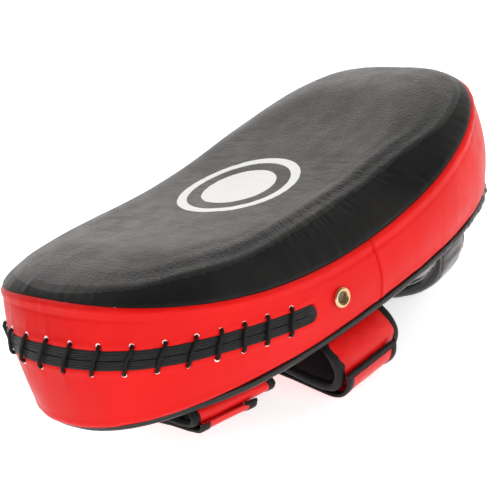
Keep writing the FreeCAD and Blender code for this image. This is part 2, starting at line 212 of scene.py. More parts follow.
def grid_normals(P, wrap=True):
    """Unit normals of a (nu, nv, 3) grid."""
    if wrap:
        du = np.roll(P, -1, 0) - np.roll(P, 1, 0)
    else:
        du = np.gradient(P, axis=0)
    dv = np.gradient(P, axis=1)
    n = np.cross(du, dv)
    return n / (np.linalg.norm(n, axis=-1, keepdims=True) + 1e-12)


# ------------------------------------------------------------------ materials
def material(name, base, rough, spec=0.5, var=None, grain=None, creases=None, metallic=0.0, coat=0.0,
             coat_rough=0.2, sheen=0.0, weave=None, streak=None, rough_var=0.05):
    m = bpy.data.materials.new(name)
    m.use_nodes = True
    nt = m.node_tree
    nt.nodes.clear()
    out = nt.nodes.new("ShaderNodeOutputMaterial")
    b = nt.nodes.new("ShaderNodeBsdfPrincipled")
    nt.links.new(b.outputs[0], out.inputs[0])
    b.inputs["Metallic"].default_value = metallic
    b.inputs["Specular IOR Level"].default_value = spec
    b.inputs["Coat Weight"].default_value = coat
    b.inputs["Coat Roughness"].default_value = coat_rough
    b.inputs["Sheen Weight"].default_value = sheen
    b.inputs["Sheen Roughness"].default_value = 0.4
    tc = nt.nodes.new("ShaderNodeTexCoord")
    co = tc.outputs["Object"]

    def tex_noise(scale, detail=4.0, rough_=0.55, vec=None):
        t = nt.nodes.new("ShaderNodeTexNoise")
        t.inputs["Scale"].default_value = scale
        t.inputs["Detail"].default_value = detail
        t.inputs["Roughness"].default_value = rough_
        nt.links.new(vec or co, t.inputs["Vector"])
        return t.outputs["Fac"]

    def ramp(fac, a, b_, lo=0.35, hi=0.65):
        mr = nt.nodes.new("ShaderNodeMapRange")
        mr.inputs["From Min"].default_value = lo
        mr.inputs["From Max"].default_value = hi
        mr.inputs["To Min"].default_value = a
        mr.inputs["To Max"].default_value = b_
        nt.links.new(fac, mr.inputs["Value"])
        return mr.outputs[0]

    dark, light = var or (tuple(c * 0.88 for c in base), tuple(min(1, c * 1.1) for c in base))
    mix = nt.nodes.new("ShaderNodeMix")
    mix.data_type = "RGBA"
    nt.links.new(ramp(tex_noise(14.0, 5.0), 0, 1), mix.inputs["Factor"])
    mix.inputs["A"].default_value = (*dark, 1)
    mix.inputs["B"].default_value = (*light, 1)
    nt.links.new(mix.outputs["Result"], b.inputs["Base Color"])
    nt.links.new(ramp(tex_noise(55.0, 3.0), rough - rough_var, rough + rough_var), b.inputs["Roughness"])
    last = None

    def bump(height, strength, distance):
        nonlocal last
        bp = nt.nodes.new("ShaderNodeBump")
        bp.inputs["Strength"].default_value = strength
        bp.inputs["Distance"].default_value = distance
        nt.links.new(height, bp.inputs["Height"])
        if last is not None:
            nt.links.new(last, bp.inputs["Normal"])
        last = bp.outputs["Normal"]

    if grain:
        scale, strength, dist = grain
        vo = nt.nodes.new("ShaderNodeTexVoronoi")
        vo.feature = "DISTANCE_TO_EDGE"
        vo.inputs["Scale"].default_value = scale
        warp = nt.nodes.new("ShaderNodeTexNoise")
        warp.inputs["Scale"].default_value = scale * 0.4
        nt.links.new(co, warp.inputs["Vector"])
        add = nt.nodes.new("ShaderNodeVectorMath")
        add.operation = "MULTIPLY_ADD"
        nt.links.new(warp.outputs["Color"], add.inputs[0])
        add.inputs[1].default_value = (1.2 / scale,) * 3
        nt.links.new(co, add.inputs[2])
        nt.links.new(add.outputs[0], vo.inputs["Vector"])
        bump(ramp(vo.outputs["Distance"], 0, 1, 0.0, 0.25), strength, dist)
        bump(tex_noise(scale * 2.5, 2.0), strength * 0.5, dist)
    if creases:
        for sx, sy, sz, strength, dist in creases:
            mp = nt.nodes.new("ShaderNodeMapping")
            mp.inputs["Scale"].default_value = (sx, sy, sz)
            nt.links.new(co, mp.inputs["Vector"])
            n1 = tex_noise(1.0, 3.0, 0.5, mp.outputs[0])
            amount = ramp(tex_noise(11.0, 2.0), 0.0, 1.0, 0.42, 0.62)
            mul = nt.nodes.new("ShaderNodeMath")
            mul.operation = "MULTIPLY"
            nt.links.new(n1, mul.inputs[0])
            nt.links.new(amount, mul.inputs[1])
            bump(mul.outputs[0], strength, dist)
    if weave:
        scale, strength, dist = weave
        total = None
        for axis in ((1, 0, 0), (0, 1, 0.6)):
            mp = nt.nodes.new("ShaderNodeMapping")
            mp.inputs["Scale"].default_value = (scale, scale, scale)
            nt.links.new(co, mp.inputs["Vector"])
            w = nt.nodes.new("ShaderNodeTexWave")
            w.wave_type = "BANDS"
            w.bands_direction = "X" if axis[0] else "DIAGONAL"
            w.inputs["Scale"].default_value = 1.0
            w.inputs["Distortion"].default_value = 0.6
            nt.links.new(mp.outputs[0], w.inputs["Vector"])
            if total is None:
                total = w.outputs["Fac"]
            else:
                mul = nt.nodes.new("ShaderNodeMath")
                mul.operation = "MULTIPLY"
                nt.links.new(total, mul.inputs[0])
                nt.links.new(w.outputs["Fac"], mul.inputs[1])
                total = mul.outputs[0]
        bump(total, strength, dist)
        bump(tex_noise(scale * 1.5, 2.0), strength * 0.6, dist)
    if last is not None:
        nt.links.new(last, b.inputs["Normal"])
    return m


RED = material("red_vinyl", (0.545, 0.006, 0.005), 0.40, spec=0.13, var=((0.52, 0.005, 0.004), (0.575, 0.008, 0.007)),
               grain=(900, 0.10, 0.0003), rough_var=0.06)
RED_STRAP = material("red_strap", (0.58, 0.006, 0.005), 0.32, spec=0.3, var=((0.50, 0.004, 0.004), (0.64, 0.010, 0.009)),
                     grain=(900, 0.14, 0.0003), creases=[(180, 500, 500, 0.2, 0.0004)])
BLACK_FACE = material("black_pu_face", (0.012, 0.012, 0.0122), 0.43, spec=0.5, var=((0.009, 0.009, 0.009), (0.018, 0.0175, 0.017)),
                      grain=(420, 0.5, 0.0006), creases=[(520, 60, 240, 0.75, 0.0009), (300, 50, 160, 0.4, 0.0009)])
# the ridge and shoulder materials are shaded copies of the face vinyl, with a slightly darker base and less specular:
# painted shade for how the light falls on the steep shoulder, and the ridge copy is a step between
BLACK_RIDGE_HALF_SHADE = material("black_pu_ridge_painted_half_shade", (0.011, 0.011, 0.011), 0.42, spec=0.34, var=((0.008, 0.008, 0.008), (0.015, 0.0145, 0.014)),
                       grain=(750, 0.22, 0.0004), creases=[(520, 60, 300, 0.28, 0.0005)])
BLACK_SHOULDER_SHADE = material("black_pu_shoulder_painted_shade", (0.010, 0.010, 0.010), 0.40, spec=0.12, var=((0.007, 0.007, 0.007), (0.013, 0.0125, 0.012)),
                          grain=(750, 0.20, 0.0004), creases=[(240, 40, 200, 0.18, 0.0006)])
BLACK_EDGE = material("black_vinyl_edge", (0.010, 0.009, 0.009), 0.28, spec=0.35, grain=(800, 0.12, 0.0003),
                      creases=[(260, 260, 90, 0.2, 0.0005)])
BLACK_BACK = material("black_back_cloth", (0.012, 0.012, 0.013), 0.55, spec=0.4, weave=(9000, 0.25, 0.0002))
BINDING = material("black_binding", (0.008, 0.0075, 0.0075), 0.5, spec=0.22, weave=(7000, 0.3, 0.0002))
LIP = material("black_lip_binding", (0.008, 0.008, 0.0082), 0.40, spec=0.28, weave=(6000, 0.28, 0.0002))
LACE = material("black_lace", (0.005, 0.005, 0.005), 0.55, spec=0.2, weave=(9000, 0.4, 0.0002))
LINING = material("dark_lining", (0.020, 0.010, 0.012), 0.62, spec=0.3, var=((0.012, 0.006, 0.008), (0.035, 0.016, 0.02)), sheen=0.15, weave=(8000, 0.3, 0.0002))
GRIP = material("black_grip_vinyl", (0.007, 0.006, 0.0055), 0.24, spec=0.30, grain=(700, 0.12, 0.0003), coat=0.3, coat_rough=0.14,
                creases=[(60, 420, 420, 0.25, 0.0006)])
HOOK = material("black_hook_tape", (0.012, 0.012, 0.012), 0.7, spec=0.3, grain=(1400, 0.7, 0.0006))
LOOP = material("black_loop_tape", (0.016, 0.016, 0.016), 0.85, spec=0.2, sheen=0.4, grain=(1100, 0.9, 0.0009))
PRINT = material("white_print", (0.90, 0.90, 0.885), 0.42, spec=0.4, var=((0.90, 0.90, 0.89), (0.96, 0.96, 0.95)), grain=(750, 0.10, 0.0003))
PALE = material("pale_hole_crescent", (0.85, 0.83, 0.80), 0.5, spec=0.4, weave=(9000, 0.3, 0.0002))
THREAD = material("black_thread", (0.010, 0.010, 0.010), 0.6, spec=0.3)
RED_THREAD = material("red_thread", (0.45, 0.01, 0.01), 0.6, spec=0.3)
BRASS = material("vent_brass", (0.72, 0.52, 0.32), 0.27, spec=0.5, metallic=1.0, var=((0.55, 0.36, 0.17), (0.88, 0.66, 0.40)), rough_var=0.1)
STEEL = material("vent_steel", (0.30, 0.27, 0.23), 0.4, spec=0.5, metallic=0.2, var=((0.16, 0.14, 0.12), (0.42, 0.38, 0.33)))
FOAM = material("dark_foam", (0.03, 0.03, 0.033), 0.8, spec=0.2, grain=(900, 0.5, 0.0005))

# ---------------------------------------------------------- striking face
NS = 1500
share = np.arange(NS) / NS
ring_t = np.linspace(0, 1, 100)[:-1]
depth_in = B * ring_t ** 1.7           # distance in from the near seam, mm
q = 1 - depth_in / B


def rise_at(d):
    """Rise of the face above the seam, d mm in from the edge, with a soft end to the shoulder."""
    t = 1 - np.asarray(d, float) / SHOULDER
    t = np.clip(0.5 * (np.sqrt(t * t + 0.036) + t), 0, 1)
    return RISE * np.maximum(1 - t ** ROUND, 0) ** (1 / ROUND)


def face_base(sh, d):
    """Face surface at outline share sh, d mm in from the edge (as measured on the near side)."""
    sx, sy = look(SEAM_TAB, sh)
    qq = 1 - d / B
    u = np.minimum(d / SHOULDER, 1.0)
    rise = rise_at(d)
    x, y = sx * qq, sy * qq
    z = seam_z(x) + rise
    n = np.hypot(sx / A ** 2, sy / B ** 2)
    tuck = -1.5 * np.exp(-d / 0.9)
    return x + sx / A ** 2 / n * tuck, y + sy / B ** 2 / n * tuck, z


RIDGE_SH = np.array([0.5, 0.521, 0.564, 0.592, 0.646, 0.688, 0.75, 0.823, 0.85, 0.872, 0.915, 0.96, 1.0])
RIDGE_D = np.array([5.0, 6.0, 9.5, 14.0, 18.5, 23.0, 25.0, 23.0, 18.5, 13.5, 7.5, 6.0, 5.5])


def ridge_at(sh):
    """Distance in from the edge of the soft ridge where the foam's top edge shows."""
    m = np.where(np.mod(sh, 1.0) < 0.5, 1 - np.mod(sh, 1.0), np.mod(sh, 1.0))
    return np.interp(m, RIDGE_SH, RIDGE_D)


def face_relief(x, y, sh, d):
    s = sh * SEAM_LEN
    near = sstep(20, -60, y)
    far = sstep(-20, 60, y)
    side = np.clip(near + 0.35 * far, 0, 1)
    mid = sstep(185, 120, np.abs(x - 10))
    r = 0.30 * noise(x / 80, y / 65, 0, 3) + 0.10 * noise(x / 28, y / 24, 5, 4)
    # soft ridge where the foam edge shows, with a shallow valley inside it
    dr = ridge_at(sh)
    wob = 1.0 * noise(s / 55, 0, 2, 5) + 0.5 * noise(s / 23, 0, 5, 25)
    e = d - dr + wob
    amp = (0.55 + 0.45 * near) * np.clip(dr / 20.0, 0.55, 1.0)
    r = r + amp * 2.9 * np.where(e < 0, np.clip(d / np.maximum(dr - wob, 1), 0, 1) ** 1.15, np.exp(-(e / 15.0) ** 2))
    r = r + amp * side * (0.50 * bell(e, 0.5, 2.4) - 0.62 * bell(e, 5.8, 2.7) + 0.40 * bell(e, 11.5, 3.2) - 0.22 * bell(e, 17.5, 3.5))
    # short pleats across the ridge
    amount = sstep(85, 50, x) * sstep(-188, -165, x) * side * sstep(-13, -5, e) * sstep(17, 8, e) * (0.65 + 0.35 * noise(s / 30, 1, 2, 9))
    r = r + amount * (0.20 * noise(s / 1.9 + d / 6, d / 15, 0, 6) + 0.16 * noise(s / 3.8 + d / 9, d / 20, 3, 7))
    # fine creases across the dished middle
    flat = sstep(38, 52, d) * sstep(165, 100, np.abs(x + 20))
    r = r + flat * 0.24 * noise(x / 3.1 + 0.25 * noise(x / 20, y / 14, 0, 15), y / 16, 0, 8) * (0.5 + 0.5 * noise(x / 25, y / 25, 1, 12))
    r = r + flat * 0.12 * noise(x / 5.5, y / 30, 4, 14)
    # puckers at the sewn edge
    r = r + 0.38 * np.exp(-d / 7.0) * noise(s / 5.5, d / 30, 7, 11) * sstep(0.3, 2.0, d)
    return r


S2, D2 = np.meshgrid(share, depth_in, indexing="ij")
X, Y, Z = face_base(S2, D2)
P = np.stack([X, Y, Z], -1)
Nn = grid_normals(P)
if Nn[0, 50, 2] < 0:
    Nn = -Nn
Nn[:, 0] = Nn[:, 1]
P = P + Nn * face_relief(X, Y, S2, D2)[..., None]
verts = P.reshape(-1, 3)
centre = np.array([[0, 0, ZS + RISE + face_relief(np.array(0.0), np.array(0.0), np.array(0.0), np.array(118.0))]])
nq = len(depth_in)
faces = [tuple(f) for f in grid_faces(NS, nq, wrap_u=True)]
c_id = len(verts)
faces += [(i * nq + nq - 1, ((i + 1) % NS) * nq + nq - 1, c_id) for i in range(NS)]
verts = np.vstack([verts, centre])
# material zones by distance from the ridge: painted shade on the shoulder (2), a half-shaded step on the ridge (1), the
# plain face vinyl on the top (0)
e_mid = (D2 - ridge_at(S2))[:, :-1].reshape(-1)
painted_shade_zone = np.where(e_mid < -2.5, 2, np.where(e_mid < 1.0, 1, 0))
painted_shade_zone = np.r_[painted_shade_zone, np.zeros(NS, int)]
face_ob = mesh_object("cover_face", verts, faces, [BLACK_FACE, BLACK_RIDGE_HALF_SHADE, BLACK_SHOULDER_SHADE], painted_shade_zone)
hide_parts("face_panel", "impact_foam")
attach(face_ob, "pad")


def face_height(x, y):
    """Height of the finished face above (x, y), for the print."""
    x, y = np.asarray(x, float), np.asarray(y, float)
    qq = (np.abs(x / A) ** NF + np.abs(y / B) ** NF) ** (1 / NF)
    d = B * (1 - qq)
    ang = np.arctan2(y * A, x * B)
    base = seam_z(x) + rise_at(d)
    return base + face_relief(x, y, np.mod(ang / (2 * np.pi), 1.0), d)


def printed(name, r0, r1, node):
    cx = -6.0
    n_r, n_a = 14 if r0 else 40, 260
    rr = np.linspace(max(r0, 0.01), r1, n_r)
    aa = np.arange(n_a) * 2 * np.pi / n_a
    R, T = np.meshgrid(rr, aa, indexing="ij")
    wob = 0.12 * noise(T * 9, R / 40, 2, 21)
    x = cx + (R + wob * (R > r1 - 0.1) + 0) * np.cos(T)
    y = R * np.sin(T)
    edge = np.where((R > r1 - 0.05) | ((R < r0 + 0.05) & (r0 > 0)), 0.02, 0.17)
    z = face_height(x, y) + edge
    v = np.stack([x, y, z], -1).reshape(-1, 3)
    ob = mesh_object(name, v, grid_faces(n_r, n_a, wrap_v=True), PRINT)
    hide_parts(node)
    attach(ob, "pad")
    return ob


printed("print_ring", 40.0, 47.5, "target_ring")
printed("print_disc", 0.0, 29.0, "target_disc")

# ----------------------------------------------------------------- red wall
NK = 120
kt = np.linspace(0, 1, NK)
kk = 0.5 - 0.5 * np.cos(np.pi * kt)                # closer rows at both edges
kk = 0.45 * kk + 0.55 * kt
NW = 1800
wshare = np.arange(NW) / NW
WS, WK = np.meshgrid(wshare, kk, indexing="ij")
wx, wy, wz, _, _ = wall(WS, WK)
sxx, _ = look(SEAM_TAB, WS)
height = seam_z(sxx) - ZB - EDGE
d_top, d_bot = (1 - WK) * height, WK * height
mxx, _, _, _, _ = wall(WS, 0.5)
hh = wz - slit_z(mxx)
ss = arc_of(WS)
relief = 0.55 * noise(wx / 60, wy / 60, wz / 45, 31) + 0.22 * noise(wx / 22, wy / 22, wz / 30, 32)
relief = relief - 1.5 * np.exp(-d_top / 1.0) + 0.75 * bell(d_top, 3.4, 2.4)
relief = relief - 1.0 * np.exp(-d_bot / 1.2) + 0.45 * bell(d_bot, 3.4, 2.4)
relief = relief - 0.30 * bell(d_top + 0.8 * noise(ss / 40, 0, 1, 33), 8.5, 1.4) * sstep(-0.1, 0.25, noise(ss / 90, 3, 1, 34) + 0.35)
relief = relief + 0.30 * np.exp(-d_top / 9.0) * noise(ss / 6.5, d_top / 40, 2, 35) * sstep(0.5, 3, d_top)
relief = relief + 0.22 * np.exp(-d_bot / 9.0) * noise(ss / 7.5, d_bot / 40, 5, 36) * sstep(0.5, 3, d_bot)
relief = relief + 0.16 * noise(ss / 9.0, wz / 70, 8, 37)
for side in (-1, 1):
    on = sstep(0, 20, side * wy)
    dx = wx - SEAM_X
    relief = relief + on * (-1.9 * bell(dx, 0, 0.75) + 0.34 * bell(np.abs(dx), 2.6, 1.6))
    relief = relief + on * 0.22 * bell(dx, 0, 9.0) * noise(wz / 4.5, 2 + side, 0, 38)
vent_k = 0.5 * (seam_z(VENT_X) + ZB + EDGE)
vr = np.hypot(wx - VENT_X, wz - vent_k) + 1e3 * (wy > 0)
relief = relief - 6.5 * sstep(6.6, 5.9, vr) - 0.25 * bell(vr, 8.6, 1.2)
in_slit = sstep(SLIT_S + 4.5, SLIT_S - 0.5, np.abs(ss))
relief = relief - 3.4 * in_slit * sstep(7.0, 5.0, np.abs(hh))
relief = relief + 0.7 * in_slit * bell(np.abs(hh), 9.5, 3.0)
for st in STOPS:
    lean = LEAN * max(0.45, min(1.0, (170.0 - st) / 60.0))
    for sign in (1, -1):
        r2 = (ss - st - sign * lean / 2) ** 2 + (hh - sign * HOLE) ** 2
        relief = relief - 1.9 * np.exp(-r2 / 2.0 ** 2)
        relief = relief + 0.35 * np.exp(-((ss - st - sign * lean / 2) / 3.0) ** 2) * sstep(30, 12, np.abs(hh)) * (hh * sign > 8)
P = np.stack([wx, wy, wz], -1)
Nn = grid_normals(P)
cen = P.mean((0, 1))
if ((P[0, 60] - cen) * Nn[0, 60]).sum() < 0:
    Nn = -Nn
P = P + Nn * relief[..., None]
ids = (np.abs(0) + (wx < SEAM_X)).astype(int)
quads = grid_faces(NW, NK, wrap_u=True)
wall_faces_id = (wx[np.arange(NW)][:, :-1] < SEAM_X).astype(int).reshape(-1)
V = P.reshape(-1, 3)
flipped = quads[:, ::-1]
for name, keep, node in (("cover_wall_plain", 0, "side_gusset_plain"), ("cover_wall_laced", 1, "side_gusset_laced")):
    f = flipped[wall_faces_id == keep]
    used, inv = np.unique(f, return_inverse=True)
    ob = mesh_object(name, V[used], inv.reshape(-1, 4), RED)
    if keep == 0:
        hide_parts(node, "core_foam")
    else:
        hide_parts(node)
    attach(ob, "pad")

# ---------------------------------------------------- back edge and back panel
NE = 26
et = np.linspace(0, 1, NE)
ES, ET = np.meshgrid(wshare, et, indexing="ij")
fx, fy = look(FOOT_TAB, ES)
n = np.hypot(fx / AF ** 2, fy / BF ** 2)
nx, ny = fx / AF ** 2 / n, fy / BF ** 2 / n
ang = ET * np.pi * 0.62
out_r = 1.1 * np.sin(np.clip(ang * 1.25, 0, np.pi)) - (1 - np.cos(ang)) * 3.0 - 12.0 * np.clip(ET - 0.78, 0, 1) / 0.22
zz = ZB + EDGE - 0.2 - (EDGE - 0.2) * np.sin(np.clip(ang / 0.62 / 2 * 1.05, 0, np.pi / 2))
es = arc_of(ES)
slack = 0.35 + 1.5 * sstep(60, 160, fx) * sstep(20, -40, fy)
wrinkle = slack * (0.55 * noise(es / 9.0, ET * 2, 0, 41) + 0.30 * noise(es / 4.0, ET * 3, 3, 42)) * np.sin(np.pi * np.clip(ET * 1.15, 0, 1))
out_r = out_r - 1.1 * np.exp(-ET * 30) - 4.6 * sstep(-125, -185, fx) * sstep(0.0, 0.12, ET) + wrinkle + 0.5 * sstep(60, 160, fx) * np.sin(np.pi * np.clip(ET * 1.2, 0, 1))
P = np.stack([fx + nx * out_r, fy + ny * out_r, zz + 0.25 * wrinkle * (ET < 0.7)], -1)
edge_ob = mesh_object("back_edge", P.reshape(-1, 3), grid_faces(NW, NE, wrap_u=True), BLACK_EDGE)
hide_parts("back_edge_binding", "backing_foam")
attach(edge_ob, "pad")

# flat back with quilting lines and sewn-down strap ends
nr = 60
qq = np.linspace(1.0, 0.0, nr)[:-1]
QS, QQ = np.meshgrid(wshare[::3], qq, indexing="ij")
bx, by = look(FOOT_TAB, QS)
ratio = (BF - 14.0) / BF
bx, by = bx * QQ * (AF - 14.0) / AF, by * QQ * ratio
dist = (1 - QQ) * (BF - 14)
bz = ZB + 0.9 - 0.9 * sstep(0, 7, dist) + 0.0
bz = bz - 0.0 + 0.35 * noise(bx / 30, by / 30, 0, 51) * sstep(0, 10, dist)
for xm in (WRIST_X[0] - 5, WRIST_X[1] + 5, GRIP_X[0] - 5, GRIP_X[1] + 5, ELBOW_X[0] - 5, ELBOW_X[1] + 5):
    bz = bz + 0.55 * bell(bx, xm, 1.6) * sstep(3, 10, dist)
bz = np.maximum(bz, ZB + 0.0)
P = np.stack([bx, by, bz], -1)
v = P.reshape(-1, 3)
n1, n2 = P.shape[:2]
f = [tuple(x) for x in grid_faces(n1, n2, wrap_u=True, flip=False)]
cid = len(v)
f += [(i * n2 + n2 - 1, ((i + 1) % n1) * n2 + n2 - 1, cid) for i in range(n1)]
v = np.vstack([v, [[0, 0, ZB + 0.3]]])
back_ob = mesh_object("back_cloth", v, [t[::-1] for t in f], BLACK_BACK)
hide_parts("back_panel")
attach(back_ob, "pad")

# ------------------------------------------------ lace closure: bound lips
half = 3.55
rad = 3.65
line = np.arange(-SLIT_S + 3, SLIT_S - 3, 0.9)
path = [(s, rad) for s in line]
turn = np.linspace(np.pi / 2, -np.pi / 2, 17)[1:-1]
path += [(line[-1] + rad * math.cos(a), rad * math.sin(a)) for a in turn]
path += [(s, -rad) for s in line[::-1]]
path += [(line[0] - rad * math.cos(a), -rad * math.sin(a)) for a in turn]
path = np.array(path)
tan = np.roll(path, -1, 0) - np.roll(path, 1, 0)
tan /= np.linalg.norm(tan, axis=1, keepdims=True)
nor = np.stack([-tan[:, 1], tan[:, 0]], -1)       # towards the outside of the ring on the top run
w = np.array([-1.0, -1.0, -0.97, -0.9, -0.8, -0.68, -0.58, -0.46, -0.34, -0.22, -0.1, 0.02, 0.14, 0.26, 0.38, 0.5, 0.62, 0.74, 0.84, 0.92, 0.98, 1.0, 1.0])
prof = np.array([-2.6, 0.1, 0.8, 1.15, 1.3, 1.2, 0.72, 1.2, 1.42, 1.2, 0.8, 1.22, 1.5, 1.25, 0.7, 1.2, 1.38, 1.15, 0.7, 1.0, 0.6, 0.1, -2.6])
u_arc = np.r_[0, np.cumsum(np.linalg.norm(np.diff(path, axis=0), axis=1))]
Wd = np.broadcast_to(w, (len(path), len(w)))
jit = 0.22 * noise(u_arc[:, None] / 6.0, Wd * 1.2, 0, 61) + 0.12 * noise(u_arc[:, None] / 2.2, Wd * 2, 4, 62)
sq = path[:, 0][:, None] + nor[:, 0][:, None] * Wd * half
hq = path[:, 1][:, None] + nor[:, 1][:, None] * Wd * half
pp = np.broadcast_to(prof, Wd.shape) + jit * (np.broadcast_to(prof, Wd.shape) > 0)
for st in STOPS:      # the lace pulls each lip down a little
    lean = LEAN * max(0.45, min(1.0, (170.0 - st) / 60.0))
    pp = pp - 0.45 * np.exp(-((sq - st - lean / 2 * hq / HOLE) / 2.2) ** 2)
pos, _ = wall_at(sq, hq, pp)
lip_ob = mesh_object("closure_lips", pos.reshape(-1, 3), grid_faces(len(path), len(w), wrap_u=True), LIP)
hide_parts("closure_lip_upper", "closure_lip_lower", "closure_underflap")
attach(lip_ob, "pad")


# --------------------------------------------------------------------- lace
def round_path(points, radius, step=0.6):
    """Dense points along straight runs joined by arcs."""
    pts = [np.asarray(p, float) for p in points]
    out = [pts[0]]
    for i in range(1, len(pts) - 1):
        p, a, b = pts[i], pts[i - 1], pts[i + 1]
        u, v_ = a - p, b - p
        lu, lv = np.linalg.norm(u), np.linalg.norm(v_)
        u, v_ = u / lu, v_ / lv
        angc = math.acos(max(-1, min(1, float(u @ v_))))
        if angc > math.pi - 0.02:
            out.append(p)
            continue
        r = radius
        cut = min(r / math.tan(angc / 2), 0.46 * min(lu, lv))
        r = cut * math.tan(angc / 2)
        bis = (u + v_) / np.linalg.norm(u + v_)
        c = p + bis * (r / math.sin(angc / 2))
        t0, t1 = p + u * cut, p + v_ * cut
        a0, a1 = t0 - c, t1 - c
        sweep = math.acos(max(-1, min(1, float(a0 @ a1) / r / r)))
        for k in range(7):
            f_ = k / 6
            w0, w1 = math.sin((1 - f_) * sweep) / math.sin(sweep), math.sin(f_ * sweep) / math.sin(sweep)
            out.append(c + a0 * w0 + a1 * w1)
    out.append(pts[-1])
    out = np.array(out)
    run = np.r_[0, np.cumsum(np.linalg.norm(np.diff(out, axis=0), axis=1))]
    m = int(run[-1] / step)
    g = np.linspace(0, run[-1], m)
    return np.stack([np.interp(g, run, out[:, k]) for k in range(3)], -1)


def tube(points, radius, sides=12, twist=0.0, ridge=0.0, flat=1.0):
    """Vertices of a tube of changing radius along points."""
    n_ = len(points)
    t = np.gradient(points, axis=0)
    t /= np.linalg.norm(t, axis=1, keepdims=True)
    up = np.zeros_like(t)
    ref = np.array([0, 0, 1.0])
    prev = np.cross(t[0], ref)
    if np.linalg.norm(prev) < 1e-3:
        prev = np.cross(t[0], [1.0, 0, 0])
    prev /= np.linalg.norm(prev)
    for i in range(n_):
        prev = prev - t[i] * (prev @ t[i])
        prev /= np.linalg.norm(prev)
        up[i] = prev
    side = np.cross(t, up)
    run = np.r_[0, np.cumsum(np.linalg.norm(np.diff(points, axis=0), axis=1))]
    a = np.arange(sides) * 2 * np.pi / sides
    rr_ = np.broadcast_to(np.asarray(radius), (n_,))[:, None] * (1 + ridge * np.cos(3 * a[None] + run[:, None] * twist))
    pos_ = points[:, None] + up[:, None] * (np.cos(a) * rr_)[..., None] + side[:, None] * (np.sin(a) * rr_ * flat)[..., None]
    return pos_


route = []
for st in STOPS:
    lean = LEAN * max(0.45, min(1.0, (170.0 - st) / 60.0))
    jt = 0.5 * math.sin(st * 1.7)
    for (ds, h, o) in ((lean / 2, HOLE, -3.4), (lean / 2, HOLE + 0.3, 1.4), (lean / 2 * 0.72 + jt * 0.3, HOLE * 0.74, 2.75),
                       (-lean / 2 * 0.2 + jt, 0.0, 2.6), (-lean / 2 * 0.72 + jt * 0.3, -HOLE * 0.74, 2.75), (-lean / 2, -HOLE - 0.3, 1.4), (-lean / 2, -HOLE, -3.4)):
        pnt, _ = wall_at(st + ds, h, o)
        route.append(pnt)
lp = round_path(route, 2.0)
pos = tube(lp, 1.38, sides=12, twist=2.4, ridge=0.09)
lace_ob = mesh_object("lace_cord", pos.reshape(-1, 3), grid_faces(len(lp), 12, wrap_v=True), LACE)
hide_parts("lace")
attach(lace_ob, "pad")


# a small pale crescent at each punched hole, larger at some holes than at others
cv, cf = [], []
for st in STOPS:
    lean = LEAN * max(0.45, min(1.0, (170.0 - st) / 60.0))
    for sign in (1, -1):
        big = 1.0 if (sign < 0 and st > 150) or (sign > 0 and -130 < st < 75) or abs(math.sin(st * 3.1)) > 0.8 else 0.3
        mid_a = math.pi / 2 * sign + 0.5 * math.sin(st * 2.3)
        rows = []
        for a_ in np.linspace(mid_a - 1.15, mid_a + 1.15, 11):
            th = 0.25 + 0.62 * big * math.cos((a_ - mid_a) / 1.15 * math.pi / 2)
            for rr_, oo in ((1.75, -0.9), (1.75 + 0.15 * th, 0.35), (1.75 + th, 0.55), (1.75 + 1.6 * th, 0.35), (1.75 + 1.75 * th, -0.9)):
                pnt, _ = wall_at(st + sign * lean / 2 + rr_ * math.cos(a_), sign * HOLE + rr_ * math.sin(a_), oo)
                rows.append(pnt)
        base_ = len(cv)
        cv += rows
        cf += [tuple(q_) for q_ in grid_faces(11, 5, base=base_, flip=True)]
ob = mesh_object("hole_edges", np.array(cv), cf, PALE)
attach(ob, "pad")


# ------------------------------------------------------- straps and the grip
def spline(points, count):
    """Smooth curve through points (centripetal Catmull-Rom), count samples at equal spacing."""
    p = np.array(points, float)
    p = np.vstack([2 * p[0] - p[1], p, 2 * p[-1] - p[-2]])
    out = []
    for i in range(1, len(p) - 2):
        p0, p1, p2, p3 = p[i - 1], p[i], p[i + 1], p[i + 2]
        t = np.linspace(0, 1, 24, endpoint=False)[:, None]
        t0 = 0.0
        t1 = t0 + max(1e-6, np.linalg.norm(p1 - p0)) ** 0.5
        t2 = t1 + max(1e-6, np.linalg.norm(p2 - p1)) ** 0.5
        t3 = t2 + max(1e-6, np.linalg.norm(p3 - p2)) ** 0.5
        tt = t1 + t * (t2 - t1)
        a1 = (t1 - tt) / (t1 - t0) * p0 + (tt - t0) / (t1 - t0) * p1
        a2 = (t2 - tt) / (t2 - t1) * p1 + (tt - t1) / (t2 - t1) * p2
        a3 = (t3 - tt) / (t3 - t2) * p2 + (tt - t2) / (t3 - t2) * p3
        b1 = (t2 - tt) / (t2 - t0) * a1 + (tt - t0) / (t2 - t0) * a2
        b2 = (t3 - tt) / (t3 - t1) * a2 + (tt - t1) / (t3 - t1) * a3
        out.append((t2 - tt) / (t2 - t1) * b1 + (tt - t1) / (t2 - t1) * b2)
    out = np.vstack(out + [p[-2][None]])
    run = np.r_[0, np.cumsum(np.linalg.norm(np.diff(out, axis=0), axis=1))]
    g = np.linspace(0, run[-1], count)
    return np.stack([np.interp(g, run, out[:, 0]), np.interp(g, run, out[:, 1])], -1), run[-1]


def at_depth(pts):
    return [(y, ZB - d) for y, d in pts]


def cut_path(path, a, b, count=None):
    run = np.r_[0, np.cumsum(np.linalg.norm(np.diff(path, axis=0), axis=1))]
    count = count or max(8, int((run[-1] - a - b) / 1.6))
    g = np.linspace(a, run[-1] - b, count)
    return np.stack([np.interp(g, run, path[:, 0]), np.interp(g, run, path[:, 1])], -1)


def factor(x, taper):
    if taper is None:
        return np.ones_like(np.asarray(x, float))
    return taper[1] + (np.asarray(x, float) - taper[0]) / (taper[2] - taper[0]) * (taper[3] - taper[1])


